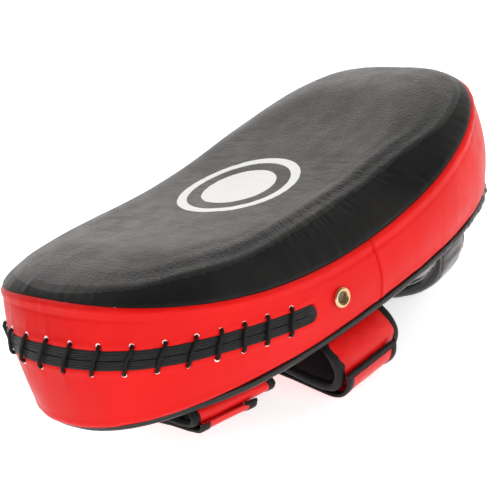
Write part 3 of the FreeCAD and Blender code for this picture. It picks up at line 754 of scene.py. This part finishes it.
def sweep(path, sec_x, sec_t, taper=None):
    """Closed section (x, t) swept along path (y, z); t is the offset towards the arm."""
    tan_ = np.gradient(path, axis=0)
    sec_x = np.broadcast_to(sec_x, (len(path), np.shape(sec_x)[-1]))
    sec_t = np.broadcast_to(sec_t, sec_x.shape)
    k = factor(sec_x, taper)
    ty, tz = tan_[:, 0][:, None] * k, tan_[:, 1][:, None] + 0 * k
    n_ = np.hypot(ty, tz)
    y = path[:, 0][:, None] * k - tz / n_ * sec_t
    z = path[:, 1][:, None] + ty / n_ * sec_t
    return np.stack([sec_x, y, z], -1)


def closed_sweep(name, P_, mats, ids=None):
    """A swept closed section with both ends capped."""
    n_, m_ = P_.shape[:2]
    v_ = P_.reshape(-1, 3)
    f_ = [tuple(q_) for q_ in grid_faces(n_, m_, wrap_v=True)]
    c0, c1 = len(v_), len(v_) + 1
    v_ = np.vstack([v_, P_[0].mean(0)[None], P_[-1].mean(0)[None]])
    caps = [((j + 1) % m_, j, c0) for j in range(m_)] + [((n_ - 1) * m_ + j, (n_ - 1) * m_ + (j + 1) % m_, c1) for j in range(m_)]
    if ids is not None:
        ids = list(np.tile(ids, n_ - 1)) + [int(ids[0])] * len(caps)
    return mesh_object(name, v_, f_ + caps, mats, ids)


def rounded_slab(x0, x1, t0, t1, nx_=25, r=None, pillow=0.0, pinch=0.0, pinch_w=10.0):
    """Section loop of a padded strip: outer face first, from x0 to x1, then back along the inner face."""
    r = r if r is not None else 0.5 * (t1 - t0)
    xs = np.linspace(x0 + r, x1 - r, nx_)
    c = (xs - (x0 + x1) / 2) / ((x1 - x0) / 2)
    bulge_ = pillow * (1 - np.abs(c) ** 2.5)
    edge_d = np.minimum(xs - x0, x1 - xs)
    pin = pinch * np.exp(-(edge_d / pinch_w) ** 2)
    mid_t = (t0 + t1) / 2
    arc_a = np.linspace(-np.pi / 2, np.pi / 2, 7)[1:-1]
    hh_ = (t1 - t0) / 2
    X_ = np.r_[xs, x1 - r + r * np.cos(arc_a), xs[::-1], x0 + r - r * np.cos(arc_a)]
    T_ = np.r_[t0 - bulge_ * 0.5 + pin, mid_t + (hh_ - pin[-1]) * np.sin(arc_a), (t1 + bulge_ - pin)[::-1], mid_t - (hh_ - pin[0]) * np.sin(arc_a)]
    return X_, T_, nx_


def strap(tag, X0, X1, TX0, TX1, band_pts, tongue_pts, hook_skip, foam, bind, taper, seed):
    band, _ = spline(at_depth(band_pts), 400)
    tongue, _ = spline(at_depth(tongue_pts), 400)
    shell = 1.4
    full = shell + foam + 1.0
    root = (0.5 * (X0 + X1) * MM, 0, (ZB - 0.5) * MM)
    # padded band: red outside, dark lining inside
    path_ = cut_path(band, 0.0, 0.0)
    n_ = len(path_)
    run = np.r_[0, np.cumsum(np.linalg.norm(np.diff(path_, axis=0), axis=1))]
    grow = sstep(6, 22, run) * sstep(-0.5, 8.0, run[-1] - run) * 0.75 + 0.25 * sstep(0, 6, run)
    bx_, bt_, nn = rounded_slab(X0 + 1.0, X1 - 1.0, 0.0, full, 33, r=1.2, pillow=1.3, pinch=full * 0.16, pinch_w=9)
    T = bt_[None] * (0.22 + 0.78 * grow[:, None])
    Xs = np.broadcast_to(bx_, T.shape)
    outside = np.zeros(len(bx_), bool)
    outside[:nn] = True
    wr = 0.45 * noise(Xs / 15, run[:, None] / 12, 0, seed) + 0.25 * noise(Xs / 6, run[:, None] / 5, 3, seed + 1)
    corner = 0.5 * bell(run[:, None], 38, 9) * noise(Xs / 22, run[:, None] / 2.6, 5, seed + 2)
    T = T - np.where(outside[None], 1, -1) * (wr + corner) * grow[:, None] * 0.9
    P_ = sweep(path_, Xs, T, taper)
    ids_ = np.array([0] * nn + [1] * (len(bx_) - nn))
    ob = closed_sweep(tag + "_band", P_, [RED_STRAP, LINING], ids_)
    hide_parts(tag + "_band_shell", tag + "_band_foam", tag + "_band_lining")
    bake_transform(ob)
    # binding folded over both long edges
    bits_v, bits_f, base_ = [], [], 0
    path_b = cut_path(band, 1.0, 0.5)
    n_b = len(path_b)
    run_b = np.r_[0, np.cumsum(np.linalg.norm(np.diff(path_b, axis=0), axis=1))]
    grow_b = 0.25 + 0.75 * sstep(5, 20, run_b)
    for sgn, xe in ((1, X0), (-1, X1)):
        a = np.linspace(-np.pi / 2, np.pi / 2, 11)
        depth_x = np.r_[bind, bind, bind * 0.75, bind * 0.5, bind * 0.25, 1.6 - 2.0 * np.cos(a), bind * 0.25, bind * 0.5, bind * 0.75, bind, bind]
        lo_t, hi_t = full * 0.16 - 0.8, full * 0.84 + 0.6
        mid_ = (lo_t + hi_t) / 2
        tt = np.r_[0.3, lo_t + 0.35, lo_t - 0.05, lo_t - 0.15, lo_t - 0.05, mid_ + (hi_t - lo_t) / 2 * np.sin(a), hi_t + 0.05, hi_t + 0.15, hi_t + 0.05, hi_t - 0.35, full - 0.8]
        xx_ = xe + sgn * depth_x
        Tb = tt[None] * grow_b[:, None] + 0.22 * noise(depth_x[None] / 3 + 9 * sgn, run_b[:, None] / 4, 2, seed + 7)
        Xb = xx_[None] + sgn * 0.35 * noise(depth_x[None] / 9, run_b[:, None] / 9, 6 + sgn, seed + 8)
        Pb = sweep(path_b, Xb, Tb, taper)
        bits_v.append(Pb.reshape(-1, 3))
        g_ = grid_faces(n_b, len(tt), wrap_v=True, flip=(sgn > 0), base=base_)
        bits_f += [tuple(q_) for q_ in g_]
        base_ += Pb.shape[0] * Pb.shape[1]
    ob = mesh_object(tag + "_band_piping", np.vstack(bits_v), bits_f, BINDING)
    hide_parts(tag + "_band_binding")
    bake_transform(ob)
    # loop tape on the outside of the band
    path_l = cut_path(band, 70.0, 8.0)
    lx, lt, _ = rounded_slab(X0 + bind + 4, X1 - bind - 4, -1.6, -0.4, 17, r=0.5)
    run_l = np.arange(len(path_l))[:, None] * 1.6
    ob = closed_sweep(tag + "_loop_tape", sweep(path_l, lx, lt[None] + 0.12 * noise(lx[None] / 8, run_l / 8, 1, seed + 11), taper), LOOP)
    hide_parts(tag + "_loop_patch")
    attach(ob, tag + "_band")
    # closing tongue, rooted on the far side, its end under the near corner
    path_t = cut_path(tongue, 0.0, 0.0)
    run_t = np.r_[0, np.cumsum(np.linalg.norm(np.diff(path_t, axis=0), axis=1))]
    tx, tt_, nt_ = rounded_slab(TX0, TX1, 0.0, 1.8, 27, r=0.8)
    wv = 0.5 * noise(tx[None] / 20, run_t[:, None] / 22, 1, seed + 21) + 0.16 * noise(tx[None] / 6, run_t[:, None] / 7, 2, seed + 22)
    calm = sstep(0, 14, run_t[:, None])
    ob = closed_sweep(tag + "_tongue_strap", sweep(path_t, tx, tt_[None] - 0.3 + wv * calm * 0.7, taper), RED_STRAP)
    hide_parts(tag + "_tongue")
    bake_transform(ob)
    bits_v, bits_f, base_ = [], [], 0
    path_e = cut_path(tongue, 0.0, 4.0)
    run_e = np.r_[0, np.cumsum(np.linalg.norm(np.diff(path_e, axis=0), axis=1))]
    for sgn, xe in ((1, TX0 - 0.8), (-1, TX1 + 0.8)):
        a = np.linspace(-np.pi / 2, np.pi / 2, 9)
        depth_x = np.r_[6.2, 5.9, 3.0, 1.3 - 1.3 * np.cos(a), 3.0, 5.9, 6.2]
        tt2 = np.r_[0.4, -0.55, -0.65, 0.9 + 1.5 * np.sin(a), 2.45, 2.35, 1.4]
        Xb = xe + sgn * depth_x[None] + 0 * run_e[:, None]
        wv2 = 0.5 * noise(Xb / 20, run_e[:, None] / 22, 1, seed + 21) + 0.16 * noise(Xb / 6, run_e[:, None] / 7, 2, seed + 22)
        Pb = sweep(path_e, Xb, tt2[None] - 0.3 + wv2 * sstep(0, 14, run_e[:, None]) * 0.7, taper)
        bits_v.append(Pb.reshape(-1, 3))
        bits_f += [tuple(q_) for q_ in grid_faces(len(path_e), len(tt2), wrap_v=True, flip=(sgn > 0), base=base_)]
        base_ += Pb.shape[0] * Pb.shape[1]
    # the free end is bound as well: one folded strip across it
    total_ = np.linalg.norm(np.diff(tongue, axis=0), axis=1).sum()
    end = cut_path(tongue, 0.0, total_ - (3.4 if tag == "wrist" else 0.6), 9)
    d0 = (end[0] - end[1]) / np.linalg.norm(end[0] - end[1])
    end = np.vstack([end[0] + d0 * 0.9, end[0] + d0 * 0.7, end])
    e0, e1 = (TX0 - 0.9, TX1 + 0.9) if tag == "wrist" else (TX1 - 8.0, TX1 + 1.2)
    ex, et_, _ = rounded_slab(e0, e1, -0.8, 2.4, 60, r=1.4)
    puff = np.r_[0.35, 0.75, np.ones(len(end) - 2)][:, None]
    Te = 0.75 + (et_[None] - 0.75) * puff - 0.3 + 0.15 * noise(ex[None] / 3.0, np.arange(len(end))[:, None] / 3, 4, seed + 24)
    Pe = sweep(end, ex, Te, taper)
    ne, me_ = Pe.shape[:2]
    bits_v.append(Pe.reshape(-1, 3))
    bits_f += [tuple(q_) for q_ in grid_faces(ne, me_, wrap_v=True, base=base_)]
    bits_v.append(np.vstack([Pe[0].mean(0)[None], Pe[-1].mean(0)[None]]))
    c0_, c1_ = base_ + ne * me_, base_ + ne * me_ + 1
    bits_f += [(base_ + (j + 1) % me_, base_ + j, c0_) for j in range(me_)]
    bits_f += [(base_ + (ne - 1) * me_ + j, base_ + (ne - 1) * me_ + (j + 1) % me_, c1_) for j in range(me_)]
    ob = mesh_object(tag + "_tongue_piping", np.vstack(bits_v), bits_f, BINDING)
    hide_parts(tag + "_tongue_binding")
    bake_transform(ob)
    path_h = cut_path(tongue, hook_skip, 95.0)
    hx, ht, _ = rounded_slab(TX0 + 8, TX1 - 8, 1.4, 2.4, 15, r=0.4)
    ob = closed_sweep(tag + "_hook_tape", sweep(path_h, hx, ht[None] + 0.1 * noise(hx[None] / 8, np.arange(len(path_h))[:, None] / 5, 1, seed + 31), taper), HOOK)
    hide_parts(tag + "_hook_patch")
    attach(ob, tag + "_tongue")


BAND_W = [(-97, 1.2), (-104, 6), (-110.5, 14), (-112.5, 24), (-109, 34), (-101, 40.5), (-90, 41), (-60, 33.5), (-20, 26), (15, 22), (40, 19)]
TONGUE_W = [(-116.2, 27.0), (-115.6, 31.5), (-113.8, 36.4), (-110.6, 40.8), (-105.5, 44.6), (-98.5, 46.4), (-90, 45.6), (-60, 38.2), (-20, 30.4), (15, 26.4), (45, 22.5), (68, 17.5), (82, 9.5), (88, 1.2)]
BAND_E = [(-81, 1.2), (-87.6, 1.6), (-93.4, 4.5), (-95.6, 8.4), (-93.4, 12.3), (-87.2, 15.0), (-78, 15.3), (-66, 14.9), (-30, 13.4), (10, 12.6), (36, 12.3)]
TONGUE_E = [(-99.2, 12.4), (-97.6, 16.2), (-91.5, 19.3), (-82, 19.9), (-66, 19.4), (-30, 17.9), (10, 17.0), (38, 16.4), (60, 13.2), (76, 7.6), (83, 1.2)]
strap("wrist", *WRIST_X, *WRIST_TONGUE_X, BAND_W, TONGUE_W, 33.0, 5.0, 6.5, None, 100)
strap("elbow", *ELBOW_X, *ELBOW_TONGUE_X, BAND_E, TONGUE_E, 26.0, 1.6, 5.5, (ELBOW_X[0], 0.74, ELBOW_X[1], 0.985), 200)

# sewn-down strap ends, with box stitching
for node in ("wrist_near_anchor", "wrist_far_anchor", "elbow_near_anchor", "elbow_far_anchor", "grip_anchor_near", "grip_anchor_far"):
    a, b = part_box(node)
    a, b = np.array(a) / MM, np.array(b) / MM
    nxg, nyg = 48, 18
    gx, gy = np.meshgrid(np.linspace(a[0], b[0], nxg), np.linspace(a[1], b[1], nyg), indexing="ij")
    edge = np.minimum(np.minimum(gx - a[0], b[0] - gx), np.minimum(gy - a[1], b[1] - gy))
    z = ZB - 1.5 * sstep(0, 1.6, edge) + 0.45 * bell(edge, 3.0, 0.5)
    u = (gx - a[0]) / (b[0] - a[0])
    vv = (gy - a[1]) / (b[1] - a[1])
    z = z + 0.35 * (bell(u - vv, 0, 0.02) + bell(u + vv - 1, 0, 0.02)) * (edge > 3) + 0.1 * noise(gx / 5, gy / 5, 0, 71)
    ob = mesh_object("sewn_" + node, np.stack([gx, gy, z], -1).reshape(-1, 3), grid_faces(nxg, nyg, flip=True), BINDING)
    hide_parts(node)
    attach(ob, "pad")

# hand grip: glossy padded arch
arch = []
for i in range(25):
    a = math.pi * i / 24
    arch.append((-101.0 * math.copysign(abs(math.cos(a)) ** 0.85, math.cos(a)), 1.0 + 50.0 * abs(math.sin(a)) ** 0.9))
arch, _ = spline(at_depth(arch), 500)
gp = cut_path(arch, 0.0, 0.0, 220)
run = np.r_[0, np.cumsum(np.linalg.norm(np.diff(gp, axis=0), axis=1))]
total_t = 11.6
gx_, gt_, ng = rounded_slab(GRIP_X[0], GRIP_X[1], 0.2, total_t - 1.0, 41, r=2.4, pillow=1.9, pinch=1.6, pinch_w=9.0)
root_d = np.minimum(run, run[-1] - run)
thin = 0.55 + 0.45 * sstep(0, 26, root_d)
T = gt_[None] * thin[:, None]
Xs = np.broadcast_to(gx_, T.shape)
outside = np.zeros(len(gx_), bool)
outside[:ng] = True
fold = 0.55 * noise(Xs / 26, run[:, None] / 5.0, 0, 81) * (0.35 + 1.2 * sstep(40, 5, root_d)[:, None]) + 0.35 * noise(Xs / 14, run[:, None] / 14, 4, 82)
T = T - np.where(outside[None], 1, -1) * fold * 0.9
T = T - np.where(outside[None], 1, -1) * (-1) * 0.8 * bell(np.minimum(Xs - GRIP_X[0], GRIP_X[1] - Xs), 4.5, 1.0)
T = np.maximum(T, 0.05) if False else T
P_ = sweep(gp, Xs, T, (GRIP_X[0], 1.0, GRIP_X[1], 0.885))
P_[..., 2] = np.maximum(P_[..., 2], 0.03)
grip_ob = closed_sweep("grip_arch", P_, [GRIP])
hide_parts("grip_cover", "grip_webbing", "grip_foam")
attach(grip_ob, "pad")

# metal vent: the CAD pieces, shown as they are
for name, mat in (("vent_ring", BRASS), ("vent_washer", BRASS), ("vent_mesh", STEEL)):
    ob = nodes[name]
    ob.data.materials.clear()
    ob.data.materials.append(mat)

# anything of the CAD that is still showing and has no look of its own gets a dark cloth
for name, ob in nodes.items():
    if not ob.hide_render and not name.startswith("vent"):
        ob.data.materials.clear()
        ob.data.materials.append(FOAM)

# ------------------------------------------------------------------ the set
bpy.ops.mesh.primitive_plane_add(size=14, location=(0, 0, -0.0006))
floor = bpy.context.object
floor.name = "floor"
fm = bpy.data.materials.new("floor_white")
fm.use_nodes = True
fb = fm.node_tree.nodes["Principled BSDF"]
fn = fm.node_tree.nodes.new("ShaderNodeTexNoise")
fn.inputs["Scale"].default_value = 3.0
fr = fm.node_tree.nodes.new("ShaderNodeMapRange")
fr.inputs["To Min"].default_value = 0.93
fr.inputs["To Max"].default_value = 0.97
fm.node_tree.links.new(fn.outputs["Fac"], fr.inputs["Value"])
fc = fm.node_tree.nodes.new("ShaderNodeCombineColor")
for i in range(3):
    fm.node_tree.links.new(fr.outputs[0], fc.inputs[i])
fm.node_tree.links.new(fc.outputs[0], fb.inputs["Base Color"])
fb.inputs["Roughness"].default_value = 0.9
fb.inputs["Specular IOR Level"].default_value = 0.1
fb.inputs["Emission Color"].default_value = (1, 1, 1, 1)
fb.inputs["Emission Strength"].default_value = 0.62
floor.data.materials.append(fm)

world = bpy.data.worlds.new("studio")
scene.world = world
world.use_nodes = True
wt = world.node_tree
wt.nodes.clear()
wo = wt.nodes.new("ShaderNodeOutputWorld")
bg = wt.nodes.new("ShaderNodeBackground")
wt.links.new(bg.outputs[0], wo.inputs[0])
tcw = wt.nodes.new("ShaderNodeTexCoord")
dotp = wt.nodes.new("ShaderNodeVectorMath")
dotp.operation = "DOT_PRODUCT"
wt.links.new(tcw.outputs["Generated"], dotp.inputs[0])
bk = Vector((-0.605252, -0.700985, 0.0)).normalized()
dotp.inputs[1].default_value = tuple(bk)
mr = wt.nodes.new("ShaderNodeMapRange")
mr.interpolation_type = "SMOOTHSTEP"
mr.inputs["From Min"].default_value = -0.92
mr.inputs["From Max"].default_value = -0.10
mr.inputs["To Min"].default_value = 1.8
mr.inputs["To Max"].default_value = 0.20
wt.links.new(dotp.outputs["Value"], mr.inputs["Value"])
cc = wt.nodes.new("ShaderNodeCombineColor")
for i in range(3):
    tint = wt.nodes.new("ShaderNodeMath")
    tint.operation = "MULTIPLY"
    tint.inputs[1].default_value = (1.0, 0.972, 0.95)[i]
    wt.links.new(mr.outputs[0], tint.inputs[0])
    wt.links.new(tint.outputs[0], cc.inputs[i])
wt.links.new(cc.outputs[0], bg.inputs["Color"])
bg.inputs["Strength"].default_value = 1.0


def area(name, loc, target, size, power, glossy=True, colour=(1, 1, 1)):
    li = bpy.data.lights.new(name, "AREA")
    li.shape = "RECTANGLE"
    li.size, li.size_y = size
    li.energy = power
    li.color = colour
    ob_ = bpy.data.objects.new(name, li)
    scene.collection.objects.link(ob_)
    ob_.location = loc
    ob_.rotation_mode = "QUATERNION"
    ob_.rotation_quaternion = (Vector(target) - Vector(loc)).to_track_quat("-Z", "Y")
    ob_.visible_glossy = glossy
    return ob_


area("front_fill", (-1.3, -1.9, 0.75), (0, 0, 0.08), (2.6, 1.6), 46.0, glossy=False)
area("left_fill", (-2.2, 0.3, 0.9), (0, 0, 0.08), (1.6, 1.4), 18.0, glossy=False)
area("right_fill", (1.8, -1.6, 0.8), (0, 0, 0.08), (1.6, 1.4), 22.0, glossy=False)

cam_data = bpy.data.cameras.new("camera")
cam = bpy.data.objects.new("camera", cam_data)
scene.collection.objects.link(cam)
cam_data.sensor_width = 36.0
cam_data.lens = 133.96
cam_data.clip_start, cam_data.clip_end = 0.05, 60
right = Vector((0.656933, -0.707467, -0.260631))
up = Vector((0.449565, 0.090058, 0.888696))
back = Vector((-0.605252, -0.700985, 0.377215))
m4 = Matrix(((right.x, up.x, back.x, -0.8587), (right.y, up.y, back.y, -0.97964), (right.z, up.z, back.z, 0.61697), (0, 0, 0, 1)))
cam.matrix_world = m4
scene.camera = cam
